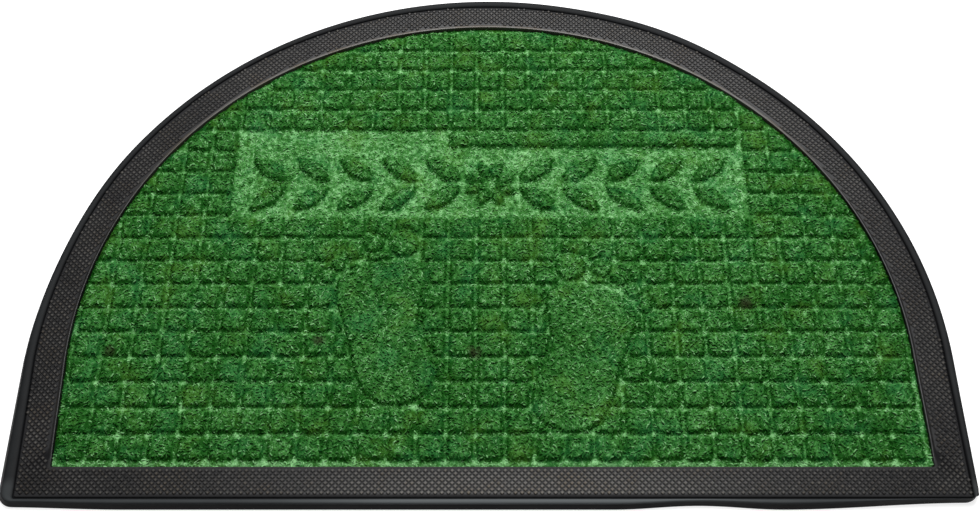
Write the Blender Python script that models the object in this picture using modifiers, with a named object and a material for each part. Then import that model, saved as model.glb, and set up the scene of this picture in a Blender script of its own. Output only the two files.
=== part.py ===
"""Half round doormat: a moulded rubber base with a raised border, and a pressed pile inlay.

Units are metres and +Z is up. The origin is under the middle of the mat's box, on the floor.
The straight front edge faces -Y and the round edge faces +Y.
"""
import math
from collections import namedtuple

import bmesh
import bpy

MM = 0.001

# Outline of the whole mat
MAT_RADIUS = 300.0 * MM
MAT_DEPTH = 400.0 * MM
FRONT_Y = -MAT_DEPTH / 2
ARC_CENTRE_Y = MAT_DEPTH / 2 - MAT_RADIUS
CORNER_RADIUS = 9.0 * MM
INNER_CORNER_RADIUS = 1.0 * MM

# Border and backing of the rubber base
BORDER_WIDTH = 28.0 * MM
BACKING_THICKNESS = 2.0 * MM
TOE_HEIGHT = 1.4 * MM
FLANK_WIDTH = 1.9 * MM
FLANK_HEIGHT = 5.2 * MM
RIM_WIDTH = 7.6 * MM
RIM_CROWN = 4.3 * MM
RIM_HEIGHT = 6.8 * MM
RIM_SHOULDER_DROP = 0.3 * MM
GROOVE_WIDTH = 1.2 * MM
GROOVE_HEIGHT = 5.2 * MM
GROOVE_FLOOR = 0.8 * MM
BAND_HEIGHT = 6.2 * MM
LIP_WIDTH = 2.2 * MM
LIP_SLOPE = 0.5 * MM
LIP_HEIGHT = 7.0 * MM

# How far the cut edge is off the moulded pattern, whose lines all lie inside the rim
FRONT_TRIM = 2.7 * MM
FIELD_SHIFT = 0.9 * MM
FRONT_SHIFT = 2.0 * MM
FIELD_SWELL = {"angle": 138.0, "reach": 60.0, "height": 2.6 * MM}

# Pile inlay
FIT_GAP = 0.3 * MM
GROUND_HEIGHT = 4.4 * MM
PILE_HEIGHT = 7.0 * MM
EMBED = 0.8 * MM
EDGE_STRIP = 1.8 * MM

# Grid of raised square pads
PAD_COLUMNS = 29
PAD_ROWS = 19
PAD_PITCH_X = 18.57 * MM
PAD_PITCH_Y = 17.85 * MM
FIRST_ROW_Y = FRONT_Y + BORDER_WIDTH + 1.3 * MM
GROOVE_BETWEEN_PADS = 2.6 * MM
PAD_DRAFT = 0.7 * MM
LEAST_PAD_VOLUME = 40.0 * MM ** 3

# Low panel across the mat, counted in pads, and the plain bar at its top
PANEL_COLUMNS = 19
PANEL_FIRST_ROW = 10
PANEL_ROWS = 4
BAR_LEFT = -27.0 * MM
BAR_RIGHT = 173.0 * MM
BAR_DEPTH = 10.5 * MM
BAR_BELOW_PANEL_TOP = 2.4 * MM

# Leaf garland on the panel
LEAF_PAIRS = 5
LEAF_LENGTH = 30.0 * MM
LEAF_WIDTH = 12.0 * MM
LEAF_PITCH = 30.0 * MM
LEAF_ANGLE = math.radians(38.0)
LEAF_OFFSET = 2.6 * MM
LEAF_FULLNESS = 0.8
LEAF_STEPS = 4
FIRST_LEAF = 21.0 * MM
GARLAND_ABOVE_PANEL_FOOT = 27.0 * MM
PETALS = 8
PETAL_LENGTH = 14.0 * MM
PETAL_WIDTH = 7.2 * MM
PETAL_FOOT = 4.6 * MM

# Pair of footprints: heel point (x, height above the inlay's front edge), lean from straight ahead
PRINTS = [
    {"name": "left", "heel_x": -55.0 * MM, "heel_y": 39.5 * MM, "lean": 10.0, "side": -1},
    {"name": "right", "heel_x": 46.0 * MM, "heel_y": 21.5 * MM, "lean": -13.0, "side": 1},
]
PRINT_MOAT = 3.0 * MM

# Sole of a right foot from heel to ball, in millimetres
Section = namedtuple("Section", "ahead middle half_width")
SOLE_MM = [
    Section(0.0, 0.0, 0.0),
    Section(4.5, 0.0, 14.5),
    Section(16.0, 0.2, 23.0),
    Section(34.0, 2.2, 24.5),
    Section(52.0, 4.6, 22.5),
    Section(70.0, 3.8, 25.5),
    Section(86.0, 1.6, 30.0),
    Section(97.0, -0.6, 27.5),
    Section(103.0, -2.5, 17.0),
    Section(105.0, -4.0, 0.0),
]
SOLE_STEPS_PER_SECTION = 2

# Toes of a right foot from the big toe outwards, in millimetres
Toe = namedtuple("Toe", "ahead right radius")
TOES_MM = [
    Toe(117.5, -18.5, 9.8),
    Toe(121.0, 1.5, 6.5),
    Toe(116.5, 15.5, 5.6),
    Toe(109.0, 26.5, 5.0),
    Toe(99.5, 35.0, 4.5),
]
TOE_STEPS = 12

# Unevenness of the cut front edge and of the round edge, as soft bumps
FRONT_DENTS = [
    {"centre": 128.0 * MM, "reach": 52.0 * MM, "depth": 2.4 * MM},
    {"centre": 296.0 * MM, "reach": 118.0 * MM, "depth": 4.4 * MM},
    {"centre": -300.0 * MM, "reach": 78.0 * MM, "depth": 1.6 * MM},
]
ARC_SWELLS = [
    {"angle": 64.0, "reach": 16.0, "height": 1.5 * MM},
    {"angle": 165.0, "reach": 18.0, "height": -1.6 * MM},
]

# Fineness of the rings that the base is lofted through
ARC_STEPS = 60
SIDE_STEPS = 3
CORNER_STEPS = 5
FRONT_STEPS = 24

COLLECTION = "half_round_doormat"
CUTTERS = "cutters"


def clear_scene():
    """Remove every object that the file holds."""
    for old in list(bpy.data.objects):
        bpy.data.objects.remove(old, do_unlink=True)


def make_collection(name):
    """Return a new collection linked to the scene."""
    collection = bpy.data.collections.new(name)
    bpy.context.scene.collection.children.link(collection)
    return collection


def make_material(name, colour, roughness):
    """Return a Principled material of one colour, not metallic."""
    material = bpy.data.materials.new(name)
    material.use_nodes = True
    shader = material.node_tree.nodes["Principled BSDF"]
    shader.inputs["Base Color"].default_value = (*colour, 1.0)
    shader.inputs["Roughness"].default_value = roughness
    shader.inputs["Metallic"].default_value = 0.0
    material.diffuse_color = (*colour, 1.0)
    return material


def bump(distance, reach):
    """Return a soft bump, 1 in its middle and 0 at its reach."""
    if abs(distance) >= reach:
        return 0.0
    return 0.5 + 0.5 * math.cos(math.pi * distance / reach)


def spaced(start, end, steps):
    """Return evenly spaced values from start, the end value left out."""
    return [start + (end - start) * index / steps for index in range(steps)]


def moved_off(x, y, share):
    """Return an outline point moved by a share of how far the cut edge is off the pattern."""
    angle = math.atan2(y - ARC_CENTRE_Y, x)
    away = math.degrees(angle) % 360.0 - FIELD_SWELL["angle"]
    swell = share * FIELD_SWELL["height"] * bump(away, FIELD_SWELL["reach"])
    ahead = max(ARC_CENTRE_Y - y, 0.0) / (ARC_CENTRE_Y - FRONT_Y)
    x += share * (FIELD_SHIFT + FRONT_SHIFT * ahead)
    return (x + swell * math.cos(angle), y + swell * math.sin(angle))


def half_round(inset, front_steps=FRONT_STEPS):
    """Return the mat's outline moved inwards, anticlockwise from the right end of the arc.

    The mat is cut out a little off its moulded pattern: inside the rim, every outline lies to the
    right of the middle, nearer to the front edge, and a little further out at the upper left.
    """
    off_pattern = min(inset / RIM_WIDTH, 1.0)
    radius = MAT_RADIUS - inset
    front = FRONT_Y + inset - FRONT_TRIM * off_pattern
    corner = max(CORNER_RADIUS - inset, INNER_CORNER_RADIUS)
    points = []
    for angle in spaced(0.0, math.pi, ARC_STEPS):
        points.append((radius * math.cos(angle), ARC_CENTRE_Y + radius * math.sin(angle)))
    for y in spaced(ARC_CENTRE_Y, front + corner, SIDE_STEPS):
        points.append((-radius, y))
    for angle in spaced(math.pi, 1.5 * math.pi, CORNER_STEPS):
        x = -radius + corner + corner * math.cos(angle)
        points.append((x, front + corner + corner * math.sin(angle)))
    for x in spaced(-radius + corner, radius - corner, front_steps):
        points.append((x, front))
    for angle in spaced(1.5 * math.pi, 2.0 * math.pi, CORNER_STEPS):
        x = radius - corner + corner * math.cos(angle)
        points.append((x, front + corner + corner * math.sin(angle)))
    for y in spaced(front + corner, ARC_CENTRE_Y, SIDE_STEPS):
        points.append((radius, y))
    return [moved_off(x, y, off_pattern) for x, y in points]


def uneven(point, inset):
    """Return an outline point moved by the mat's small unevenness, which fades inwards."""
    x, y = point
    if y < FRONT_Y + inset + CORNER_RADIUS:
        fade = max(1.0 - inset / RIM_WIDTH, 0.0)
        for dent in FRONT_DENTS:
            y += fade * dent["depth"] * bump(x - dent["centre"], dent["reach"])
    elif y > ARC_CENTRE_Y:
        fade = 1.0 - inset / BORDER_WIDTH
        angle = math.atan2(y - ARC_CENTRE_Y, x)
        for swell in ARC_SWELLS:
            away = math.degrees(angle) - swell["angle"]
            shift = fade * swell["height"] * bump(away, swell["reach"])
            x += shift * math.cos(angle)
            y += shift * math.sin(angle)
    return (x, y)


def border_profile():
    """Return (inset, height) from the foot of the outer wall to the foot of the inner wall."""
    band_start = RIM_WIDTH + GROOVE_WIDTH
    band_end = BORDER_WIDTH - LIP_WIDTH
    return [
        (0.0, 0.0),
        (0.0, TOE_HEIGHT),
        (FLANK_WIDTH, FLANK_HEIGHT),
        ((FLANK_WIDTH + RIM_CROWN) / 2, RIM_HEIGHT - RIM_SHOULDER_DROP),
        (RIM_CROWN, RIM_HEIGHT),
        ((RIM_WIDTH + RIM_CROWN) / 2, RIM_HEIGHT - RIM_SHOULDER_DROP),
        (RIM_WIDTH, GROOVE_HEIGHT),
        (RIM_WIDTH + GROOVE_FLOOR, GROOVE_HEIGHT),
        (band_start, BAND_HEIGHT),
        (band_end, BAND_HEIGHT),
        (band_end + LIP_SLOPE, LIP_HEIGHT),
        (BORDER_WIDTH, LIP_HEIGHT),
        (BORDER_WIDTH, BACKING_THICKNESS),
    ]


def make_rubber_base(collection):
    """Loft the base through rings of its outline and close it with a flat floor and underside."""
    mesh = bpy.data.meshes.new("rubber_base")
    base = bpy.data.objects.new("rubber_base", mesh)
    collection.objects.link(base)
    work = bmesh.new()
    rings = []
    for inset, height in border_profile():
        ring = []
        for point in half_round(inset):
            x, y = uneven(point, inset)
            ring.append(work.verts.new((x, y, height)))
        rings.append(ring)
    for lower, upper in zip(rings, rings[1:]):
        for index, start in enumerate(lower):
            after = (index + 1) % len(lower)
            work.faces.new((start, lower[after], upper[after], upper[index]))
    work.faces.new(rings[-1])
    work.faces.new(list(reversed(rings[0])))
    bmesh.ops.recalc_face_normals(work, faces=work.faces)
    work.to_mesh(mesh)
    work.free()
    return base


def mesh_from(source, name, collection):
    """Turn an object as evaluated into a plain mesh object in the same place."""
    bpy.context.view_layer.update()
    evaluated = source.evaluated_get(bpy.context.evaluated_depsgraph_get())
    mesh = bpy.data.meshes.new_from_object(evaluated)
    result = bpy.data.objects.new(name, mesh)
    result.matrix_world = source.matrix_world.copy()
    collection.objects.link(result)
    bpy.data.objects.remove(source, do_unlink=True)
    work = bmesh.new()
    work.from_mesh(mesh)
    bmesh.ops.remove_doubles(work, verts=work.verts, dist=0.001 * MM)
    bmesh.ops.recalc_face_normals(work, faces=work.faces)
    work.to_mesh(mesh)
    work.free()
    return result


def prism(name, outlines, low, high, collection):
    """Make one upright solid, or several apart, from flat outlines."""
    curve = bpy.data.curves.new(name, "CURVE")
    curve.dimensions = "2D"
    curve.fill_mode = "BOTH"
    curve.extrude = (high - low) / 2
    for outline in outlines:
        spline = curve.splines.new("POLY")
        spline.points.add(len(outline) - 1)
        for point, (x, y) in zip(spline.points, outline):
            point.co = (x, y, 0.0, 1.0)
        spline.use_cyclic_u = True
    flat = bpy.data.objects.new(name + "_outline", curve)
    flat.location.z = (low + high) / 2
    collection.objects.link(flat)
    return mesh_from(flat, name, collection)


def rectangle(left, right, low, high):
    """Return the corners of a rectangle."""
    return [(left, low), (right, low), (right, high), (left, high)]


def hide_cutter(cutter):
    """Mark an object as a guide that is not part of the mat."""
    cutter.hide_render = True
    cutter.display_type = "WIRE"


def boolean(target, other, operation):
    """Cut, join or intersect the target with another object."""
    modifier = target.modifiers.new(operation.lower(), "BOOLEAN")
    modifier.operation = operation
    modifier.solver = "EXACT"
    modifier.object = other
    hide_cutter(other)


def repeat(target, count, step):
    """Repeat the target in a row, the copies apart."""
    row = target.modifiers.new("row", "ARRAY")
    row.count = count
    row.use_relative_offset = False
    row.use_constant_offset = True
    row.constant_offset_displace = step


def smooth_sections(rows, steps):
    """Return rows with smooth values between them, by a curve through the rows."""
    result = []
    last = len(rows) - 1
    for index in range(last):
        before, start = rows[max(index - 1, 0)], rows[index]
        end, after = rows[index + 1], rows[min(index + 2, last)]
        for step in range(steps):
            t = step / steps
            values = []
            for a, b, c, d in zip(before, start, end, after):
                bend = 2 * a - 5 * b + 4 * c - d
                values.append(0.5 * (2 * b + (c - a) * t + bend * t * t
                                     + (3 * b - a - 3 * c + d) * t ** 3))
            result.append(tuple(values))
    result.append(rows[last])
    return result


def place_print(points, foot):
    """Turn and move points of a right foot to where a footprint lies."""
    lean = math.radians(foot["lean"])
    origin_y = FRONT_Y + BORDER_WIDTH + foot["heel_y"]
    placed = []
    for right, ahead in points:
        across = right * foot["side"]
        x = across * math.cos(lean) - ahead * math.sin(lean)
        y = across * math.sin(lean) + ahead * math.cos(lean)
        placed.append((foot["heel_x"] + x, origin_y + y))
    return placed


def widen(loop, margin):
    """Return an anticlockwise outline with each point moved outwards by a margin."""
    widened = []
    for index, (x, y) in enumerate(loop):
        before = loop[index - 1]
        after = loop[(index + 1) % len(loop)]
        along_x, along_y = after[0] - before[0], after[1] - before[1]
        length = math.hypot(along_x, along_y)
        widened.append((x + margin * along_y / length, y - margin * along_x / length))
    return widened


def sole_outline(margin):
    """Return the outline of a right sole, widened by a margin all round."""
    sections = smooth_sections(SOLE_MM, SOLE_STEPS_PER_SECTION)
    right = [((middle + half) * MM, ahead * MM) for ahead, middle, half in sections]
    left = [((middle - half) * MM, ahead * MM) for ahead, middle, half in sections[1:-1]]
    return widen(right + list(reversed(left)), margin)


def toe_outlines(margin):
    """Return the round outlines of a right foot's toes, widened by a margin."""
    outlines = []
    for toe in TOES_MM:
        reach = toe.radius * MM + margin
        circle = []
        for angle in spaced(0.0, 2 * math.pi, TOE_STEPS):
            x = toe.right * MM + reach * math.cos(angle)
            circle.append((x, toe.ahead * MM + reach * math.sin(angle)))
        outlines.append(circle)
    return outlines


def leaf(x, y, direction, length, width):
    """Return a pointed oval from its foot at (x, y) along a direction."""
    points = []
    for side in (1, -1):
        for index in range(LEAF_STEPS):
            t = index / LEAF_STEPS if side == 1 else 1 - index / LEAF_STEPS
            along = length * t
            across = side * width / 2 * math.sin(math.pi * t) ** LEAF_FULLNESS
            px = x + along * math.cos(direction) + across * math.sin(direction)
            py = y + along * math.sin(direction) - across * math.cos(direction)
            points.append((px, py))
    return points


def garland_outlines(centre_x, centre_y):
    """Return the leaves and the rosette of the garland, all apart from each other."""
    outlines = []
    for side in (1, -1):
        for index in range(LEAF_PAIRS):
            foot = FIRST_LEAF + index * LEAF_PITCH
            for up in (1, -1):
                turn = up * LEAF_ANGLE
                direction = turn if side == 1 else math.pi - turn
                y = centre_y + up * LEAF_OFFSET
                x = centre_x + side * foot
                outlines.append(leaf(x, y, direction, LEAF_LENGTH, LEAF_WIDTH))
    for index in range(PETALS):
        direction = 2 * math.pi * index / PETALS + math.pi / PETALS
        x = centre_x + PETAL_FOOT * math.cos(direction)
        y = centre_y + PETAL_FOOT * math.sin(direction)
        outlines.append(leaf(x, y, direction, PETAL_LENGTH, PETAL_WIDTH))
    return outlines


def drop_crumbs(target, least_volume):
    """Delete the loose bodies of a mesh that are smaller than a volume."""
    work = bmesh.new()
    work.from_mesh(target.data)
    unseen = set(work.verts)
    crumbs = []
    while unseen:
        body = {unseen.pop()}
        edge_of_search = list(body)
        while edge_of_search:
            vertex = edge_of_search.pop()
            for edge in vertex.link_edges:
                other = edge.other_vert(vertex)
                if other not in body:
                    body.add(other)
                    edge_of_search.append(other)
        unseen -= body
        faces = {face for vertex in body for face in vertex.link_faces}
        volume = 0.0
        for face in faces:
            volume += face.verts[0].co.dot(face.normal) * face.calc_area() / 3
        if volume < least_volume:
            crumbs.extend(body)
    bmesh.ops.delete(work, geom=crumbs, context="VERTS")
    work.to_mesh(target.data)
    work.free()


def panel_rows():
    """Return where the low panel starts and ends, from front to back."""
    panel_foot = FIRST_ROW_Y + PANEL_FIRST_ROW * PAD_PITCH_Y
    return panel_foot, panel_foot + PANEL_ROWS * PAD_PITCH_Y


def make_pads(collection):
    """Make the grid of square pads, cut off at the inlay's edge, the panel and the prints."""
    low = GROUND_HEIGHT - EMBED
    mesh = bpy.data.meshes.new("pads")
    work = bmesh.new()
    bmesh.ops.create_cube(work, size=1.0)
    for vertex in work.verts:
        shrink = PAD_DRAFT if vertex.co.z > 0 else 0.0
        half_x = (PAD_PITCH_X - GROOVE_BETWEEN_PADS) / 2 - shrink
        half_y = (PAD_PITCH_Y - GROOVE_BETWEEN_PADS) / 2 - shrink
        height = PILE_HEIGHT if vertex.co.z > 0 else low
        vertex.co = (math.copysign(half_x, vertex.co.x), math.copysign(half_y, vertex.co.y), height)
    work.to_mesh(mesh)
    work.free()
    pads = bpy.data.objects.new("pads", mesh)
    collection.objects.link(pads)
    pads.location.x = FIELD_SHIFT - PAD_PITCH_X * (PAD_COLUMNS - 1) / 2
    pads.location.y = FIRST_ROW_Y + PAD_PITCH_Y / 2
    repeat(pads, PAD_COLUMNS, (PAD_PITCH_X, 0.0, 0.0))
    repeat(pads, PAD_ROWS, (0.0, PAD_PITCH_Y, 0.0))

    floor, roof = low - EMBED, PILE_HEIGHT + EMBED
    edge = half_round(BORDER_WIDTH + FIT_GAP + EDGE_STRIP, front_steps=1)
    boolean(pads, prism("pad_limit", [edge], floor, roof, collection), "INTERSECT")
    half_panel = PANEL_COLUMNS * PAD_PITCH_X / 2
    panel_foot, panel_top = panel_rows()
    panel = rectangle(FIELD_SHIFT - half_panel, FIELD_SHIFT + half_panel, panel_foot, panel_top)
    boolean(pads, prism("panel_cut", [panel], floor, roof, collection), "DIFFERENCE")
    for foot in PRINTS:
        sole = place_print(sole_outline(PRINT_MOAT), foot)
        name = foot["name"] + "_sole_moat"
        boolean(pads, prism(name, [sole], floor, roof, collection), "DIFFERENCE")
        for index, toe in enumerate(toe_outlines(PRINT_MOAT)):
            name = foot["name"] + "_toe_moat_" + str(index)
            moat = prism(name, [place_print(toe, foot)], floor, roof, collection)
            boolean(pads, moat, "DIFFERENCE")
    raised = mesh_from(pads, "raised_pads", collection)
    drop_crumbs(raised, LEAST_PAD_VOLUME)
    return raised


def make_pile_inlay(collection, cutters):
    """Make the pressed carpet: a thin sheet with everything that is raised on it."""
    edge = half_round(BORDER_WIDTH + FIT_GAP, front_steps=1)
    foot = BACKING_THICKNESS + FIT_GAP
    inlay = prism("pile_inlay", [edge], foot, GROUND_HEIGHT, collection)
    boolean(inlay, make_pads(cutters), "UNION")

    low = GROUND_HEIGHT - EMBED
    panel_foot, panel_top = panel_rows()
    bar_top = panel_top - BAR_BELOW_PANEL_TOP
    bar = rectangle(BAR_LEFT, BAR_RIGHT, bar_top - BAR_DEPTH, bar_top)
    garland_y = panel_foot + GARLAND_ABOVE_PANEL_FOOT
    outlines = [bar] + garland_outlines(FIELD_SHIFT, garland_y)
    for foot_print in PRINTS:
        outlines.append(place_print(sole_outline(0.0), foot_print))
        for toe in toe_outlines(0.0):
            outlines.append(place_print(toe, foot_print))
    ornaments = prism("ornaments", outlines, low, PILE_HEIGHT, cutters)
    boolean(inlay, ornaments, "UNION")
    return inlay


def main():
    """Build the mat's two pieces and give each its own material."""
    clear_scene()
    collection = make_collection(COLLECTION)
    cutters = make_collection(CUTTERS)
    base = make_rubber_base(collection)
    base.data.materials.append(make_material("black_rubber", (0.022, 0.022, 0.024), 0.55))
    inlay = make_pile_inlay(collection, cutters)
    inlay.data.materials.append(make_material("green_pile", (0.022, 0.125, 0.030), 0.95))


main()
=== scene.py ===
"""Looks of the half round doormat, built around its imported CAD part.

Units are metres, +Z is up and the straight front edge faces -Y, as in the CAD part.
"""

import logging
import math
from dataclasses import dataclass
from enum import Enum, IntEnum
from functools import partial
from typing import Any, Callable, Iterable, Sequence

import bmesh
import bpy
import numpy as np
from bpy.types import ColorRamp, ID, Material, Mesh, Node, NodeSocket, NodeTree, Object
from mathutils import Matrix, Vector


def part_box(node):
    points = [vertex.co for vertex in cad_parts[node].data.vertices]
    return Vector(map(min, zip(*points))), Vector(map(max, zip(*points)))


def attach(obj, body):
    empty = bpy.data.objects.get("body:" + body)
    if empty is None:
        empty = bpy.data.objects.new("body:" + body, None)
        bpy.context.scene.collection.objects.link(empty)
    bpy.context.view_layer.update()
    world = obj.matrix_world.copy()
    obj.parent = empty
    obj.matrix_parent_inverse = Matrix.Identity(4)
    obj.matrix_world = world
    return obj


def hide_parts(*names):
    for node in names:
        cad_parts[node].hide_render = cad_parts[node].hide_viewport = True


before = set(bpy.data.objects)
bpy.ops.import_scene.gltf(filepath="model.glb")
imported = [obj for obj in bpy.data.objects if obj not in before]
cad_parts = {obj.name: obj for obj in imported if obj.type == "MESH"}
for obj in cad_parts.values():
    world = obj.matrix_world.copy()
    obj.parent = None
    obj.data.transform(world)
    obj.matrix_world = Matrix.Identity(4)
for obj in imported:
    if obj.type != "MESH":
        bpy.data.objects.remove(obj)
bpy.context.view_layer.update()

MM = 0.001
SHARP_ANGLE = math.radians(38.0)
RAY_RISE = 10 * MM
RAY_LENGTH = 50 * MM
LOG = logging.getLogger("doormat")

Point = tuple[float, float]
Colour = tuple[float, float, float]


class CadNode(str, Enum):
    """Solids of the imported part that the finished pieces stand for."""

    BASE = "rubber_base"
    INLAY = "pile_inlay"


class Slot(str, Enum):
    """Material slots of the record."""

    RUBBER = "black_rubber"
    PILE = "green_pile"


class PileLayer(Enum):
    """What a pile material is laid on."""

    GROUND = "ground"
    CURLS = "curls"


class Trait(str, Enum):
    """Attributes that meshes carry for their material."""

    PRESSED = "pressed"
    OPEN = "open"
    SHADE = "shade"
    TONE = "tone"
    CROWN = "crown"
    LIP = "lip"
    DULL = "dull"


class Draw(IntEnum):
    """Fixed seeds of the random values that each curl is given."""

    TILT_X = 11
    TILT_Y = 12
    TURN = 13
    SIZE = 14
    SHAPE = 15
    TONE = 16


def arithmetic(operation: str, turned: bool = False) -> Callable[..., "Signal"]:
    """Make a method that adds a Math node to a signal's plan.

    Args:
        operation: Blender's name of the operation.
        turned: Whether the other value comes first.

    Returns:
        The method, which takes another signal or a number.
    """
    def method(self: "Signal", other: Any = 0.0) -> "Signal":
        """Return the node's result."""
        values = (other, self) if turned else (self, other)
        return self.plan.use("ShaderNodeMath", {"operation": operation}, dict(enumerate(values)), "Value")

    return method


class Signal:
    """A node's output that takes part in Python arithmetic."""

    def __init__(self, plan: "NodePlan", socket: NodeSocket) -> None:
        """Keep the plan that new nodes go to.

        Args:
            plan: The node plan that holds the socket.
            socket: The output that this signal stands for.
        """
        self.plan = plan
        self.socket = socket

    __add__ = __radd__ = arithmetic("ADD")
    __sub__ = arithmetic("SUBTRACT")
    __rsub__ = arithmetic("SUBTRACT", turned=True)
    __mul__ = __rmul__ = arithmetic("MULTIPLY")
    __truediv__ = arithmetic("DIVIDE")
    __pow__ = arithmetic("POWER")
    least = arithmetic("MINIMUM")
    most = arithmetic("MAXIMUM")
    size = arithmetic("ABSOLUTE")
    above = arithmetic("GREATER_THAN")
    below = arithmetic("LESS_THAN")

    def held(self) -> "Signal":
        """Return this, held between 0 and 1."""
        return self.most(0.0).least(1.0)

    def swing(self, width: Any) -> "Signal":
        """Return noise around 0.5 as noise around 0 of another width."""
        return (self - 0.5) * width

    def step(self, low: float, high: float) -> "Signal":
        """Return a soft step.

        Args:
            low: Where the step starts, at 0.
            high: Where the step ends, at 1.

        Returns:
            A signal from 0 to 1.
        """
        sockets = {"Value": self, "From Min": low, "From Max": high}
        made = self.plan.node("ShaderNodeMapRange", {"interpolation_type": "SMOOTHSTEP"}, sockets)
        return self.plan.out(made, "Result")


class NodePlan:
    """A node tree that is built by one method."""

    def __init__(self, tree: NodeTree) -> None:
        """Start on an empty tree.

        Args:
            tree: The tree that takes the nodes.
        """
        self.tree = tree
        tree.nodes.clear()

    @staticmethod
    def _find(sockets: Iterable[NodeSocket], name: str | int) -> NodeSocket:
        """Return a socket by its place, or the first one in use that has the name.

        Args:
            sockets: A node's inputs or outputs.
            name: Name or place.

        Returns:
            The socket.
        """
        if isinstance(name, int):
            return list(sockets)[name]
        return next(s for s in sockets if s.name == name and s.enabled)

    def node(self, kind: str, settings: dict | None = None, sockets: dict | None = None) -> Node:
        """Add a node.

        Args:
            kind: Blender's type name.
            settings: Properties to set first, and under "stops" a ramp's stops.
            sockets: Values, signals or sockets for the inputs, by name or place.

        Returns:
            The new node.
        """
        made = self.tree.nodes.new(kind)
        for name, value in (settings or {}).items():
            if name == "stops":
                self._set_stops(made.color_ramp, value)
            else:
                setattr(made, name, value)
        for name, value in (sockets or {}).items():
            self.feed(self._find(made.inputs, name), value)
        return made

    @staticmethod
    def _set_stops(ramp: ColorRamp, stops: Sequence[tuple[float, Colour]]) -> None:
        """Give a ramp its stops.

        Args:
            ramp: The ramp to change.
            stops: Places and their colours, in order.
        """
        while len(ramp.elements) > 1:
            ramp.elements.remove(ramp.elements[0])
        for index, (place, colour) in enumerate(stops):
            element = ramp.elements[0] if index == 0 else ramp.elements.new(place)
            element.position = place
            element.color = (*colour, 1.0)

    def feed(self, socket: NodeSocket, value: Any) -> None:
        """Link a signal or a socket to an input, or set the input's own value.

        Args:
            socket: The input.
            value: A signal, a socket, a number, a colour or another plain value.
        """
        if isinstance(value, Signal):
            self.tree.links.new(value.socket, socket)
        elif isinstance(value, NodeSocket):
            self.tree.links.new(value, socket)
        elif isinstance(value, (list, tuple)) and all(isinstance(v, Signal) for v in value):
            for signal in value:
                self.tree.links.new(signal.socket, socket)
        elif socket.type == "RGBA" and len(value) == 3:
            socket.default_value = (*value, 1.0)
        else:
            socket.default_value = value

    def out(self, node: Node, name: str | int = 0) -> Signal:
        """Return one of a node's outputs as a signal."""
        return Signal(self, self._find(node.outputs, name))

    def use(self, kind: str, settings: dict | None = None, sockets: dict | None = None,
            output: str | int = 0) -> Signal:
        """Add a node and take one of its outputs.

        Args:
            kind: Blender's type name.
            settings: As for node().
            sockets: As for node().
            output: The output's name or place.

        Returns:
            The output as a signal.
        """
        return self.out(self.node(kind, settings, sockets), output)

    def parts(self, vector: Any) -> tuple[Signal, ...]:
        """Return a vector's X, Y and Z."""
        made = self.node("ShaderNodeSeparateXYZ", {}, {0: vector})
        return tuple(self.out(made, axis) for axis in "XYZ")

    def joined(self, x: Any, y: Any, z: Any) -> Signal:
        """Return the vector of three parts."""
        return self.use("ShaderNodeCombineXYZ", {}, {"X": x, "Y": y, "Z": z})

    def vector(self, operation: str, first: Any, second: Any) -> Signal:
        """Return the result of arithmetic with two vectors."""
        return self.use("ShaderNodeVectorMath", {"operation": operation}, {0: first, 1: second}, "Vector")


class ShaderPlan(NodePlan):
    """The node plan of one material."""

    def __init__(self, name: str, slot: Slot, preview: Colour) -> None:
        """Make the material.

        Args:
            name: The material's name.
            slot: The record's slot that it belongs to.
            preview: Plain colour for viewports.
        """
        self.material = bpy.data.materials.new(name)
        self.material.use_nodes = True
        self.material.diffuse_color = (*preview, 1.0)
        self.material["slot"] = slot.value
        super().__init__(self.material.node_tree)
        self.place = self.use("ShaderNodeTexCoord", output="Object")
        self.x, self.y, self.z = self.parts(self.place)

    def noise(self, size: float, detail: float = 3.0, roughness: float = 0.55,
              stretch: Sequence[float] = (1.0, 1.0, 1.0)) -> Signal:
        """Add noise in the piece's own coordinates.

        Args:
            size: Size of one blob, in metres.
            detail: Number of finer layers.
            roughness: Weight of the finer layers.
            stretch: Scale of the coordinates along each axis.

        Returns:
            The noise, around 0.5.
        """
        spot = self.use("ShaderNodeMapping", {}, {"Vector": self.place, "Scale": stretch})
        sockets = {"Vector": spot, "Scale": 1.0 / size, "Detail": detail, "Roughness": roughness}
        return self.use("ShaderNodeTexNoise", {}, sockets, "Fac")

    def trait(self, trait: Trait) -> Signal:
        """Return one of the mesh's attributes."""
        return self.use("ShaderNodeAttribute", {"attribute_name": trait.value}, {}, "Fac")

    def blend(self, share: Signal | float, first: Any, second: Any) -> Signal:
        """Mix two colours.

        Args:
            share: Share of the second colour.
            first: The colour at 0.
            second: The colour at 1.

        Returns:
            The mixed colour.
        """
        sockets = {"Factor": share, "A": first, "B": second}
        return self.use("ShaderNodeMix", {"data_type": "RGBA"}, sockets, "Result")

    def bump(self, height: Signal, depth: float) -> Signal:
        """Turn a height from 0 to 1 into a normal.

        Args:
            height: The height.
            depth: Real depth of the relief, in metres.

        Returns:
            The normal.
        """
        return self.use("ShaderNodeBump", {}, {"Height": height, "Distance": depth, "Strength": 1.0})

    def finish(self, colour: Signal, roughness: Signal | float, normal: Signal, gloss: float) -> Material:
        """Add the surface shader and the output.

        Args:
            colour: Colour of the surface.
            roughness: Its roughness.
            normal: Its normal.
            gloss: Level of its mirror reflection.

        Returns:
            The finished material.
        """
        surface = self.use("ShaderNodeBsdfPrincipled", {}, {
            "Base Color": colour, "Roughness": roughness, "Normal": normal,
            "Specular IOR Level": gloss}, "BSDF")
        self.node("ShaderNodeOutputMaterial", {}, {"Surface": surface})
        return self.material


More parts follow.
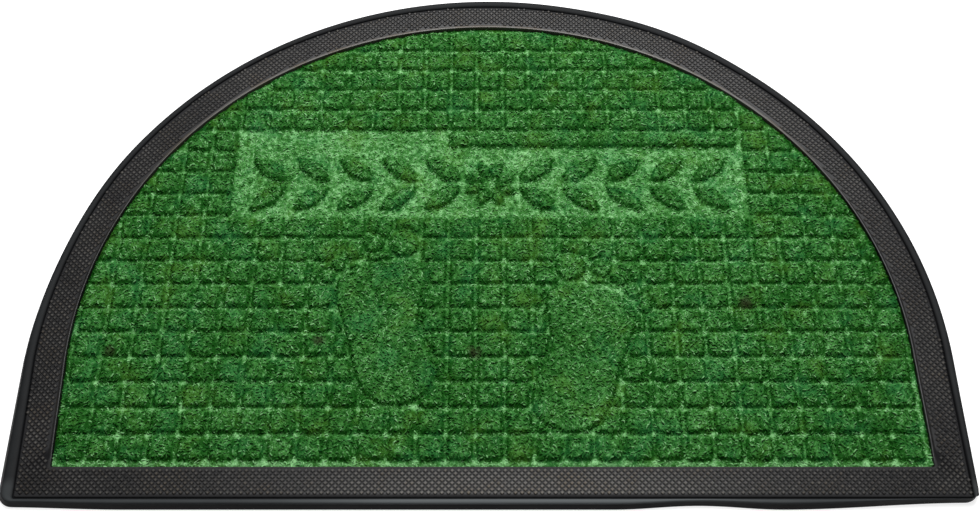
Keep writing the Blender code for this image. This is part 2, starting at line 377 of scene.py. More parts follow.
class ShapePlan(NodePlan):
    """A Geometry Nodes tree with named inputs, run once on a mesh."""

    def __init__(self, name: str) -> None:
        """Make an empty tree with a geometry input and output.

        Args:
            name: The tree's name.
        """
        super().__init__(bpy.data.node_groups.new(name, "GeometryNodeTree"))
        face = self.tree.interface
        face.new_socket("Geometry", in_out="INPUT", socket_type="NodeSocketGeometry")
        face.new_socket("Geometry", in_out="OUTPUT", socket_type="NodeSocketGeometry")
        self.values: dict[str, Any] = {}
        self.start = self.node("NodeGroupInput")

    def given(self, name: str, value: Any) -> Signal:
        """Add a named input.

        Args:
            name: The input's name.
            value: Its value in this run: a number, an object or a material.

        Returns:
            The input as a signal.
        """
        kinds = ((bool, "NodeSocketBool"), (int, "NodeSocketInt"), (float, "NodeSocketFloat"),
                 (Object, "NodeSocketObject"), (Material, "NodeSocketMaterial"))
        kind = next(socket_type for python_type, socket_type in kinds if isinstance(value, python_type))
        made = self.tree.interface.new_socket(name, in_out="INPUT", socket_type=kind)
        self.values[made.identifier] = value
        return self.out(self.start, name)

    def geometry(self) -> Signal:
        """Return the mesh that the tree runs on."""
        return self.out(self.start, "Geometry")

    def chance(self, kind: str, low: Any, high: Any, seed: int) -> Signal:
        """Add a random value.

        Args:
            kind: FLOAT, INT or FLOAT_VECTOR.
            low: The least value.
            high: The greatest value.
            seed: Fixed seed.

        Returns:
            The random value.
        """
        sockets = {"Min": low, "Max": high, "Seed": seed}
        return self.use("FunctionNodeRandomValue", {"data_type": kind}, sockets, "Value")

    def noise(self, size: float, output: str) -> Signal:
        """Return noise over the mesh, as Fac or as Color."""
        sockets = {"Scale": 1.0 / size, "Detail": 2.0, "Roughness": 0.6}
        return self.use("ShaderNodeTexNoise", {}, sockets, output)

    def noted(self, geometry: Signal, trait: Trait, value: Signal, domain: str = "POINT") -> Signal:
        """Store an attribute.

        Args:
            geometry: What carries the attribute.
            trait: The attribute.
            value: Its value.
            domain: POINT or INSTANCE.

        Returns:
            The geometry with the attribute.
        """
        return self.use("GeometryNodeStoreNamedAttribute", {"data_type": "FLOAT", "domain": domain}, {
            "Geometry": geometry, "Name": trait.value, "Value": value})

    def carried(self, trait: Trait) -> Signal:
        """Return an attribute that the mesh or its points carry."""
        return self.use("GeometryNodeInputNamedAttribute", {"data_type": "FLOAT"}, {
            "Name": trait.value}, "Attribute")

    def look_down(self, target: Signal, spot: Signal, aside: Point, output: str) -> Signal:
        """Look straight down on a mesh from a little above a point.

        Args:
            target: The mesh.
            spot: The point.
            aside: How far to the right of the point and behind it.
            output: Name of the ray's output to take.

        Returns:
            The output.
        """
        start = self.vector("ADD", spot, (*aside, RAY_RISE))
        return self.use("GeometryNodeRaycast", {}, {
            "Target Geometry": target, "Source Position": start,
            "Ray Direction": (0.0, 0.0, -1.0), "Ray Length": RAY_LENGTH}, output)

    def run(self, source: Object, result: Signal, material: Signal,
            name: str) -> Object:
        """End the tree, run it on a mesh and keep the result as a plain mesh.

        Args:
            source: The object that the tree runs on. It is removed afterwards.
            result: The geometry that the tree made.
            material: The material input that the result wears.
            name: Name of the new object.

        Returns:
            The new object, with no modifier.
        """
        solid = self.use("GeometryNodeRealizeInstances", {}, {"Geometry": result})
        dressed = self.use("GeometryNodeSetMaterial", {}, {"Geometry": solid, "Material": material})
        self.node("NodeGroupOutput", {}, {"Geometry": dressed})
        modifier = source.modifiers.new(self.tree.name, "NODES")
        modifier.node_group = self.tree
        for identifier, value in self.values.items():
            modifier[identifier] = value
        bpy.context.view_layer.update()
        graph = bpy.context.evaluated_depsgraph_get()
        mesh = bpy.data.meshes.new_from_object(source.evaluated_get(graph), depsgraph=graph)
        mesh.name = name
        bpy.data.objects.remove(source, do_unlink=True)
        return new_object(name, mesh)


@dataclass(frozen=True)
class Bump:
    """A soft bump along an edge."""

    centre: float
    reach: float
    height: float

    def at(self, place: float) -> float:
        """Return the bump's height at a place along the edge.

        Args:
            place: Place, as the centre is given.

        Returns:
            The height.
        """
        distance = abs(place - self.centre)
        if distance >= self.reach:
            return 0.0
        return self.height * (0.5 + 0.5 * math.cos(math.pi * distance / self.reach))


@dataclass(frozen=True)
class MatOutline:
    """The half round outline, with its small unevenness."""

    radius: float = 300 * MM
    front_y: float = -200 * MM
    arc_centre_y: float = -100 * MM
    corner_radius: float = 9 * MM
    inner_corner_radius: float = 1 * MM
    border_width: float = 28.0 * MM
    rim_width: float = 7.6 * MM
    front_trim: float = 2.7 * MM
    field_shift: float = 0.9 * MM
    front_shift: float = 2.0 * MM
    field_swell: Bump = Bump(138.0, 60.0, 2.6 * MM)
    front_dents: tuple[Bump, ...] = (
        Bump(128 * MM, 52 * MM, 2.4 * MM),
        Bump(296 * MM, 118 * MM, 4.4 * MM),
        Bump(-300 * MM, 78 * MM, 1.6 * MM),
    )
    arc_swells: tuple[Bump, ...] = (Bump(64.0, 16.0, 1.5 * MM), Bump(165.0, 18.0, -1.6 * MM))
    arc_steps: int = 240
    side_steps: int = 16
    corner_steps: int = 8
    front_steps: int = 120

    def ring(self, inset: float) -> list[Point]:
        """Return the outline moved inwards.

        Args:
            inset: Distance from the outer edge.

        Returns:
            Points anticlockwise from the right end of the arc.
        """
        off_pattern = min(inset / self.rim_width, 1.0)
        radius = self.radius - inset
        front = self.front_y + inset - self.front_trim * off_pattern
        corner = max(self.corner_radius - inset, self.inner_corner_radius)
        arc = np.linspace(0.0, math.pi, self.arc_steps, endpoint=False)
        points = [(radius * math.cos(a), self.arc_centre_y + radius * math.sin(a)) for a in arc]
        down = np.linspace(self.arc_centre_y, front + corner, self.side_steps, endpoint=False)
        points += [(-radius, y) for y in down]
        points += self._corner(-radius + corner, front + corner, corner, math.pi)
        across = np.linspace(-radius + corner, radius - corner, self.front_steps, endpoint=False)
        points += [(x, front) for x in across]
        points += self._corner(radius - corner, front + corner, corner, 1.5 * math.pi)
        up = np.linspace(front + corner, self.arc_centre_y, self.side_steps, endpoint=False)
        points += [(radius, y) for y in up]
        return [self._uneven(*self._moved_off(x, y, off_pattern), inset) for x, y in points]

    def area(self, inset: float) -> float:
        """Return the area within the outline moved inwards.

        Args:
            inset: Distance from the outer edge.

        Returns:
            The area in square metres.
        """
        edge = np.array(self.ring(inset))
        after = np.roll(edge, -1, axis=0)
        return float((edge[:, 0] * after[:, 1] - after[:, 0] * edge[:, 1]).sum() / 2)

    def _moved_off(self, x: float, y: float, share: float) -> Point:
        """Return a point moved by a share of how far the cut edge is off the moulded pattern.

        Args:
            x: Place from left to right.
            y: Place from front to back.
            share: From 0 to 1.

        Returns:
            The moved point.
        """
        angle = math.atan2(y - self.arc_centre_y, x)
        swell = share * self.field_swell.at(math.degrees(angle) % 360.0)
        ahead = max(self.arc_centre_y - y, 0.0) / (self.arc_centre_y - self.front_y)
        x += share * (self.field_shift + self.front_shift * ahead)
        return (x + swell * math.cos(angle), y + swell * math.sin(angle))

    def _corner(self, x: float, y: float, radius: float, start: float) -> list[Point]:
        """Return a quarter circle, its last point left out."""
        turns = np.linspace(start, start + math.pi / 2, self.corner_steps, endpoint=False)
        return [(x + radius * math.cos(a), y + radius * math.sin(a)) for a in turns]

    def _uneven(self, x: float, y: float, inset: float) -> Point:
        """Return a point moved by the unevenness, which fades inwards.

        Args:
            x: Place from left to right.
            y: Place from front to back.
            inset: Distance from the outer edge.

        Returns:
            The moved point.
        """
        if y < self.front_y + inset + self.corner_radius:
            fade = max(1.0 - inset / self.rim_width, 0.0)
            y += fade * sum(dent.at(x) for dent in self.front_dents)
        elif y > self.arc_centre_y:
            fade = max(1.0 - inset / self.border_width, 0.0)
            angle = math.atan2(y - self.arc_centre_y, x)
            swell = fade * sum(part.at(math.degrees(angle)) for part in self.arc_swells)
            x += swell * math.cos(angle)
            y += swell * math.sin(angle)
        return (float(x), float(y))


@dataclass(frozen=True)
class Wear:
    """Painted highlight on the border along the middle of the front edge."""

    middle: float = 25 * MM
    reach: tuple[float, float] = (30 * MM, 190 * MM)
    front: tuple[float, float] = (-188 * MM, -160 * MM)

    def share(self, plan: ShaderPlan) -> Signal:
        """Return the painted highlight's strength, from 0 to 1.

        Args:
            plan: The material's node plan.

        Returns:
            The painted highlight's strength.
        """
        beside = (plan.x - self.middle).size().step(*self.reach)
        behind = plan.y.step(*self.front)
        return (1.0 - beside) * (1.0 - behind)


@dataclass(frozen=True)
class BandFinish:
    """Black rubber of the band: dust only on the knurl's upper parts, so its valleys stay dark, with a
    painted highlight there along the middle of the front edge; on the lip a little dust and a painted
    highlight that grows towards the back.
    """

    name: str = "dusty_band_rubber"
    dark: Colour = (0.004, 0.004, 0.0045)
    # Colour of the dust, also used for the painted highlights.
    dust: Colour = (0.085, 0.080, 0.072)
    earth: Colour = (0.070, 0.052, 0.030)
    roughness: float = 0.42
    lip_polish: float = 0.10
    strip_dullness: float = 0.34
    gloss: float = 0.18
    valley: float = 6.38 * MM
    top: float = 6.80 * MM
    patch_size: float = 38 * MM
    speck_size: float = 3.4 * MM
    scuff_size: float = 3 * MM
    earth_size: float = 14 * MM
    grain_size: float = 0.7 * MM
    grain_depth: float = 0.05 * MM
    dustiness: float = 0.30
    worn_dust: float = 0.65
    near_lip_dust: float = 0.1
    far_lip_dust: float = 0.60
    earthy: tuple[float, float] = (0.45, 0.7)
    earth_share: float = 0.6
    far_edge: tuple[float, float] = (-20 * MM, 130 * MM)
    front_lip: tuple[float, float] = (-172 * MM, -168 * MM)

    def material(self) -> Material:
        """Return the finish as a material.

        Returns:
            The material.
        """
        plan = ShaderPlan(self.name, Slot.RUBBER, self.dust)
        lip = plan.trait(Trait.LIP)
        patches = plan.noise(self.patch_size, 4.0, 0.6)
        grain = plan.noise(self.grain_size, 3.0, 0.7)
        scuffs = plan.noise(self.scuff_size, 4.0, 0.7, stretch=(0.25, 1.0, 1.0))
        specks = plan.noise(self.speck_size, 2.0, 0.6)
        dusty = self.dustiness + patches.swing(0.7) + scuffs.swing(0.4) + specks.swing(1.1)
        # Dust goes only on the knurl's upper parts, so its valleys stay dark; along the middle of the front
        # edge a painted highlight is added there too.
        on_tops = (dusty + Wear().share(plan) * self.worn_dust) * plan.z.step(self.valley, self.top)
        # On the lip a little dust, and a painted highlight that grows towards the back.
        lip_dust_and_highlight = (dusty * self.near_lip_dust + plan.y.step(*self.far_edge) * self.far_lip_dust) * lip
        earth = plan.noise(self.earth_size, 2.0, 0.5).step(*self.earthy) * self.earth_share
        dust = plan.blend(earth, self.dust, self.earth)
        colour = plan.blend((on_tops * (1.0 - lip) + lip_dust_and_highlight).held(), self.dark, dust)
        in_front = 1.0 - plan.y.step(*self.front_lip)
        dull = plan.trait(Trait.DULL).most(lip * in_front) * self.strip_dullness
        rough = self.roughness + patches.swing(0.20) + grain.swing(0.16) - lip * self.lip_polish + dull
        normal = plan.bump(grain * 0.7 + scuffs * 0.3, self.grain_depth)
        return plan.finish(colour, rough, normal, self.gloss)

@dataclass(frozen=True)
class RimFinish:
    """Dull black rubber of the rim and the outer wall, with a painted highlight that greys its crown, more
    along the front edge and most at its middle.
    """

    name: str = "dull_rim_rubber"
    black: Colour = (0.0016, 0.0016, 0.0020)
    grey: Colour = (0.056, 0.062, 0.064)
    roughness: float = 0.62
    gloss: float = 0.06
    patch_size: float = 30 * MM
    grain_size: float = 0.8 * MM
    grain_depth: float = 0.05 * MM
    front_run: tuple[float, float] = (-188 * MM, -180 * MM)
    greyness: float = 0.12
    front_grey: float = 0.26
    worn_grey: float = 0.85

    def material(self) -> Material:
        """Return the finish as a material.

        Returns:
            The material.
        """
        plan = ShaderPlan(self.name, Slot.RUBBER, self.black)
        in_front = 1.0 - plan.y.step(*self.front_run)
        patches = plan.noise(self.patch_size, 4.0, 0.6)
        grain = plan.noise(self.grain_size, 3.0, 0.7)
        # Painted highlight: the crown is greyed, more along the front edge and most at its middle.
        middle_highlight = Wear().share(plan) * self.worn_grey
        crown_highlight_share = self.greyness + in_front * self.front_grey + middle_highlight + patches.swing(0.25)
        colour = plan.blend((crown_highlight_share * plan.trait(Trait.CROWN)).held(), self.black, self.grey)
        rough = self.roughness + patches.swing(0.2) + grain.swing(0.1)
        return plan.finish(colour, rough, plan.bump(grain, self.grain_depth), self.gloss)


@dataclass(frozen=True)
class Stain:
    """A small dark spot on the pile."""

    x: float
    y: float
    radius: float


@dataclass(frozen=True)
class PileFinish:
    """Green carpet pile, its tone varying at random from deep to pale: painted shade on the pads' walls, by
    the lip and on the ground under the curls, painted sheen on pressed ground and painted light on open
    ground.
    """

    name: str = "green_carpet_pile"
    deep: Colour = (0.0025, 0.040, 0.0014)
    body: Colour = (0.027, 0.118, 0.021)
    pale: Colour = (0.165, 0.360, 0.150)
    moss: Colour = (0.050, 0.125, 0.012)
    cool: Colour = (0.014, 0.115, 0.036)
    soil: Colour = (0.014, 0.018, 0.006)
    roughness: float = 0.70
    gloss: float = 0.06
    patch_size: float = 55 * MM
    hue_size: float = 22 * MM
    clump_size: float = 4.5 * MM
    tuft_size: float = 2.6 * MM
    strand_size: float = 0.9 * MM
    strand_depth: float = 0.55 * MM
    trodden_reach: tuple[float, float] = (-165 * MM, -60 * MM)
    trodden_light: float = 0.12
    open_light: float = 0.18
    pressed_light: float = 0.06
    body_light: float = 0.42
    spot_edge: tuple[float, float] = (0.35, 1.1)
    spot_raggedness: float = 1.6
    moss_share: float = 0.30
    cool_share: float = 0.28
    stains: tuple[Stain, ...] = (
        Stain(169 * MM, -60 * MM, 6.0 * MM), Stain(-110 * MM, -88 * MM, 5.0 * MM),
        Stain(-9 * MM, -96 * MM, 5.5 * MM), Stain(-244 * MM, -95 * MM, 4.5 * MM))

    def _soiled(self, plan: ShaderPlan, ragged: Signal) -> Signal:
        """Return how dirty the pile is, from 0 to 1.

        Args:
            plan: The material's node plan.
            ragged: Noise that makes the spots' edges ragged.

        Returns:
            The dirt.
        """
        dirt = None
        for stain in self.stains:
            reach = (((plan.x - stain.x) ** 2.0 + (plan.y - stain.y) ** 2.0) ** 0.5) / stain.radius
            spot = 1.0 - (reach + ragged.swing(self.spot_raggedness)).step(*self.spot_edge)
            dirt = spot if dirt is None else dirt.most(spot)
        return dirt * (ragged.step(0.3, 0.6) * 0.45 + 0.45)

    def material(self, layer: PileLayer) -> Material:
        """Return the finish as a material for one layer of the pile.

        Args:
            layer: The ground of the carpet or the curls on it.

        Returns:
            The material.
        """
        plan = ShaderPlan(self.name + "_" + layer.value, Slot.PILE, self.body)
        patches = plan.noise(self.patch_size, 3.0, 0.5)
        clumps = plan.noise(self.clump_size, 3.0, 0.6)
        strands = plan.noise(self.strand_size, 3.0, 0.65)
        tufts = plan.noise(self.tuft_size, 2.0, 0.6)
        # Painted shade on the pads' walls and by the lip, broken up by clumps.
        shaded = plan.trait(Trait.SHADE) * (clumps.step(0.30, 0.62) * 0.50 + 0.22)
        # Painted light on the open ground and at the groove crossings, more towards the front; the crushed
        # strip along the front edge is lifted with it.
        toward_front = 1.0 - plan.y.step(*self.trodden_reach)
        painted_open_light = plan.trait(Trait.OPEN) * (toward_front * self.trodden_light + self.open_light)
        painted_light_and_shade = plan.trait(Trait.PRESSED) * self.pressed_light + painted_open_light - shaded
        # The ground under the curls stays darker than the curls: painted shade between them.
        if layer is PileLayer.GROUND:
            light = strands.step(0.42, 0.72) * 0.20 + 0.14
        else:
            light = plan.trait(Trait.TONE) ** 1.4 * 0.50 + strands.swing(0.3) + 0.20
        light = light + tufts.swing(1.7) + clumps.swing(0.6) + patches.swing(0.4)
        shade = {"stops": [(0.0, self.deep), (self.body_light, self.body), (1.0, self.pale)]}
        clean = plan.use("ShaderNodeValToRGB", shade, {"Fac": (light + painted_light_and_shade).held()}, "Color")
        hue = plan.noise(self.hue_size, 3.0, 0.6)
        tinted = plan.blend(hue.step(0.52, 0.72) * self.moss_share, clean, self.moss)
        tinted = plan.blend((1.0 - hue.step(0.28, 0.48)) * self.cool_share, tinted, self.cool)
        colour = plan.blend(self._soiled(plan, clumps), tinted, self.soil)
        normal = plan.bump(strands * 0.7 + clumps * 0.3, self.strand_depth)
        return plan.finish(colour, self.roughness, normal, self.gloss)


@dataclass(frozen=True)
class FloorFinish:
    """Plain pale floor."""

    name: str = "pale_floor"
    colour: Colour = (0.35, 0.35, 0.35)
    glow: float = 0.76
    roughness: float = 0.9

    def material(self) -> Material:
        """Return the floor's material, which glows softly as a light table does."""
        material = bpy.data.materials.new(self.name)
        material.use_nodes = True
        shader = material.node_tree.nodes["Principled BSDF"]
        shader.inputs["Base Color"].default_value = (*self.colour, 1.0)
        shader.inputs["Roughness"].default_value = self.roughness
        shader.inputs["Emission Color"].default_value = (1.0, 1.0, 1.0, 1.0)
        shader.inputs["Emission Strength"].default_value = self.glow
        return material


def new_object(name: str, data: ID) -> Object:
    """Return a new object in the scene for a mesh, a light or a camera."""
    made = bpy.data.objects.new(name, data)
    bpy.context.scene.collection.objects.link(made)
    return made


def hand_over(piece: Object, stands_for: CadNode | None = None) -> Object:
    """Give a finished piece its body, and hide the CAD node that it stands for.

    Args:
        piece: The finished piece.
        stands_for: The CAD node, if the piece takes a node's place.

    Returns:
        The same piece.
    """
    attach(piece, "root")
    if stands_for:
        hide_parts(stands_for.value)
    return piece


def mesh_of(name: str, work: bmesh.types.BMesh) -> Mesh:
    """Turn a bmesh into a mesh and free it.

    Args:
        name: The mesh's name.
        work: The bmesh.

    Returns:
        The mesh.
    """
    mesh = bpy.data.meshes.new(name)
    work.to_mesh(mesh)
    work.free()
    return mesh


def loft(name: str, rings: Sequence[Sequence[Vector]], traits: dict[Trait, Sequence[float]],
         closed_section: bool) -> Mesh:
    """Loft closed rings of equal length into a closed mesh.

    Args:
        name: The mesh's name.
        rings: The rings, in order along the section.
        traits: For each attribute, its value on each ring.
        closed_section: Whether the last ring joins the first; otherwise both ends are filled.

    Returns:
        The mesh, smooth but for its sharp edges.
    """
    work = bmesh.new()
    layers = {trait: work.verts.layers.float.new(trait.value) for trait in traits}
    made = []
    for index, ring in enumerate(rings):
        made.append([work.verts.new(spot) for spot in ring])
        for trait, layer in layers.items():
            for vertex in made[-1]:
                vertex[layer] = traits[trait][index]
    pairs = list(zip(made, made[1:]))
    if closed_section:
        pairs.append((made[-1], made[0]))
    else:
        work.faces.new(made[-1])
        work.faces.new(list(reversed(made[0])))
    for lower, upper in pairs:
        for index, start in enumerate(lower):
            after = (index + 1) % len(lower)
            work.faces.new((start, lower[after], upper[after], upper[index])).smooth = True
    bmesh.ops.recalc_face_normals(work, faces=work.faces)
    for edge in work.edges:
        edge.smooth = edge.calc_face_angle(0.0) < SHARP_ANGLE
    return mesh_of(name, work)


@dataclass
class MouldedRim:
    """The rounded rim with the outer wall, down to the floor of the groove."""

    outline: MatOutline
    finish: Material
    toe_height: float = 1.4 * MM
    flank_width: float = 1.9 * MM
    flank_height: float = 5.2 * MM
    crown_inset: float = 4.3 * MM
    crown_height: float = 6.8 * MM
    groove_height: float = 5.5 * MM
    groove_floor: float = 0.8 * MM
    overlap: float = 0.1 * MM
    bead_steps: int = 10
    name: str = "moulded_rim"

    def _bead(self) -> list[Point]:
        """Return the bead's section from the flank to the groove, as two quarter waves.

        Returns:
            Points (inset, height).
        """
        drop = self.crown_height - self.flank_height
        sides = []
        for foot in (self.flank_width, self.outline.rim_width):
            turns = [math.pi / 2 * step / self.bead_steps for step in range(self.bead_steps + 1)]
            sides.append([(foot + (self.crown_inset - foot) * (1 - math.cos(turn)),
                           self.flank_height + drop * math.sin(turn)) for turn in turns])
        return sides[0] + list(reversed(sides[1]))[1:]

    def build(self) -> Object:
        """Build the rim.

        Returns:
            The finished piece.
        """
        inner = self.outline.rim_width + self.groove_floor + self.overlap
        section = [(0.0, 0.0), (0.0, self.toe_height)] + self._bead()
        section += [(inner, self.groove_height), (inner, 0.0)]
        rings = [[Vector((x, y, height)) for x, y in self.outline.ring(inset)] for inset, height in section]
        drop = self.crown_height - self.flank_height
        crown = [max(height - self.flank_height, 0.0) / drop for _, height in section]
        piece = new_object(self.name, loft(self.name, rings, {Trait.CROWN: crown}, closed_section=True))
        piece.data.materials.append(self.finish)
        return hand_over(piece)


@dataclass
class RubberBase:
    """The moulded base inside the rim: backing, half of the groove, band and inner lip."""

    outline: MatOutline
    finish: Material
    backing: float = 2.0 * MM
    groove_start: float = 0.7 * MM
    groove_width: float = 1.2 * MM
    strip_width: float = 2.7 * MM
    groove_height: float = 5.45 * MM
    band_height: float = 6.2 * MM
    lip_width: float = 2.2 * MM
    lip_slope: float = 0.5 * MM
    lip_height: float = 7.0 * MM
    lip_round: float = 0.3 * MM
    lip_round_steps: int = 3
    lip_shoulder: Point = (0.7, 0.25 * MM)
    lip_crest: float = 0.2 * MM
    chamfer: float = 0.1 * MM
    lip_drop: float = 0.9
    lip_drop_ends: tuple[float, float] = (-172 * MM, -158 * MM)
    name: str = "moulded_rubber_base"

    def _lip(self) -> list[Point]:
        """Return the lip's section from the band to the field.

        Returns:
            Points (inset, height).
        """
        start = self.outline.border_width - self.lip_width
        top = self.lip_height
        share, fall = self.lip_shoulder
        section = [(start, self.band_height), (start + self.lip_slope * share, top - fall),
                   (start + self.lip_slope + self.lip_crest, top)]
        for step in range(self.lip_round_steps + 1):
            turn = math.pi / 2 * step / self.lip_round_steps
            inset = self.outline.border_width - self.lip_round + self.lip_round * math.sin(turn)
            section.append((inset, top - self.lip_round + self.lip_round * math.cos(turn)))
        return section

    def _section(self) -> list[Point]:
        """Return (inset, height) from the floor under the groove to the foot of the inner wall.

        Returns:
            The points of the section.
        """
        rim = self.outline.rim_width
        start, strip = rim + self.groove_start, rim + self.strip_width
        groove = [(start, 0.0), (start, self.groove_height), (start + self.chamfer, self.groove_height),
                  (rim + self.groove_width, self.band_height), (strip, self.band_height),
                  (strip + self.chamfer, self.band_height)]
        return groove + self._lip() + [(self.outline.border_width, self.backing)]

    def _spot(self, x: float, y: float, height: float) -> Vector:
        """Return a point of the base, the lip being low along the front edge.

        Args:
            x: Place from left to right.
            y: Place from front to back.
            height: Height in the section.

        Returns:
            The point.
        """
        low, high = self.lip_drop_ends
        share = self.lip_drop * min(max((high - y) / (high - low), 0.0), 1.0)
        if height > self.band_height:
            height -= (height - self.band_height) * share
        return Vector((x, y, height))

    def build(self) -> Object:
        """Build the base and put it in the CAD solid's place.

        Returns:
            The finished piece.
        """
        section = self._section()
        rings = [[self._spot(x, y, height) for x, y in self.outline.ring(inset)] for inset, height in section]
        crest = self.outline.border_width - self.lip_width + self.lip_slope
        lip = [float(inset >= crest) for inset, _ in section]
        strip = self.outline.rim_width + self.strip_width + self.chamfer / 2
        dull = [float(inset <= strip) for inset, _ in section]
        mesh = loft(self.name, rings, {Trait.LIP: lip, Trait.DULL: dull}, closed_section=False)
        piece = new_object(self.name, mesh)
        piece.data.materials.append(self.finish)
        return hand_over(piece, CadNode.BASE)


@dataclass
class KnurledBand:
    """The band's knurl: rows of blunt pyramids on a grid turned by 45 degrees."""

    outline: MatOutline
    finish: Material
    band_height: float
    pitch: float = 2.88 * MM
    share_of_pitch: float = 0.96
    pyramid_height: float = 0.68 * MM
    blunt_share: float = 0.36
    sunk: float = 0.12 * MM
    first_inset: float = 9.3 * MM
    last_inset: float = 24.9 * MM
    last_inset_front: float = 26.9 * MM
    name: str = "knurled_band"

    def _band(self) -> Object:
        """Return a flat ring where pyramids may stand.

        Returns:
            The ring, used once as a guide.
        """
        work = bmesh.new()
        in_front = self.outline.front_y + self.outline.border_width
        sides = zip(self.outline.ring(self.last_inset), self.outline.ring(self.last_inset_front))
        last = [front if front[1] < in_front else side for side, front in sides]
        rings = []
        for ring in (self.outline.ring(self.first_inset), last):
            rings.append([work.verts.new((x, y, self.band_height)) for x, y in ring])
        outer, inner = rings
        for index, start in enumerate(outer):
            after = (index + 1) % len(outer)
            work.faces.new((start, outer[after], inner[after], inner[index]))
        return new_object("knurl_guide", mesh_of("knurl_guide", work))

    def build(self) -> Object:
        """Stand the pyramids on the band with Geometry Nodes.

        Returns:
            The finished piece.
        """
        plan = ShapePlan("knurl_pyramids")
        pitch = plan.given("Pitch", self.pitch)
        height = plan.given("Pyramid height", self.pyramid_height)
        blunt = plan.given("Blunt share", self.blunt_share)
        share = plan.given("Share of pitch", self.share_of_pitch)
        sunk = plan.given("Sunk", self.sunk)
        diagonal = self.outline.radius * 2 * math.sqrt(2)
        count = plan.given("Points a side", int(diagonal / self.pitch) | 1)
        material = plan.given("Rubber", self.finish)
        span = pitch * (count - 1)
        sockets = {"Size X": span, "Size Y": span, "Vertices X": count, "Vertices Y": count}
        grid = plan.use("GeometryNodeMeshGrid", {}, sockets, "Mesh")
        turned = plan.use("GeometryNodeTransform", {}, {
            "Geometry": grid, "Rotation": (0.0, 0.0, math.pi / 4),
            "Translation": (0.0, 0.0, self.band_height)})
        spot = plan.use("GeometryNodeInputPosition")
        on_band = plan.look_down(plan.geometry(), spot, (0.0, 0.0), "Is Hit")
        corner = pitch * share * (1 / math.sqrt(2))
        pyramid = plan.use("GeometryNodeMeshCone", {"fill_type": "NGON"}, {
            "Vertices": 4, "Radius Top": corner * blunt, "Radius Bottom": corner,
            "Depth": height + sunk}, "Mesh")
        seated = plan.use("GeometryNodeTransform", {}, {
            "Geometry": pyramid, "Translation": plan.joined(0.0, 0.0, sunk * -1.0)})
        rows = plan.use("GeometryNodeInstanceOnPoints", {}, {
            "Points": turned, "Selection": on_band, "Instance": seated})
        return hand_over(plan.run(self._band(), rows, material, self.name))


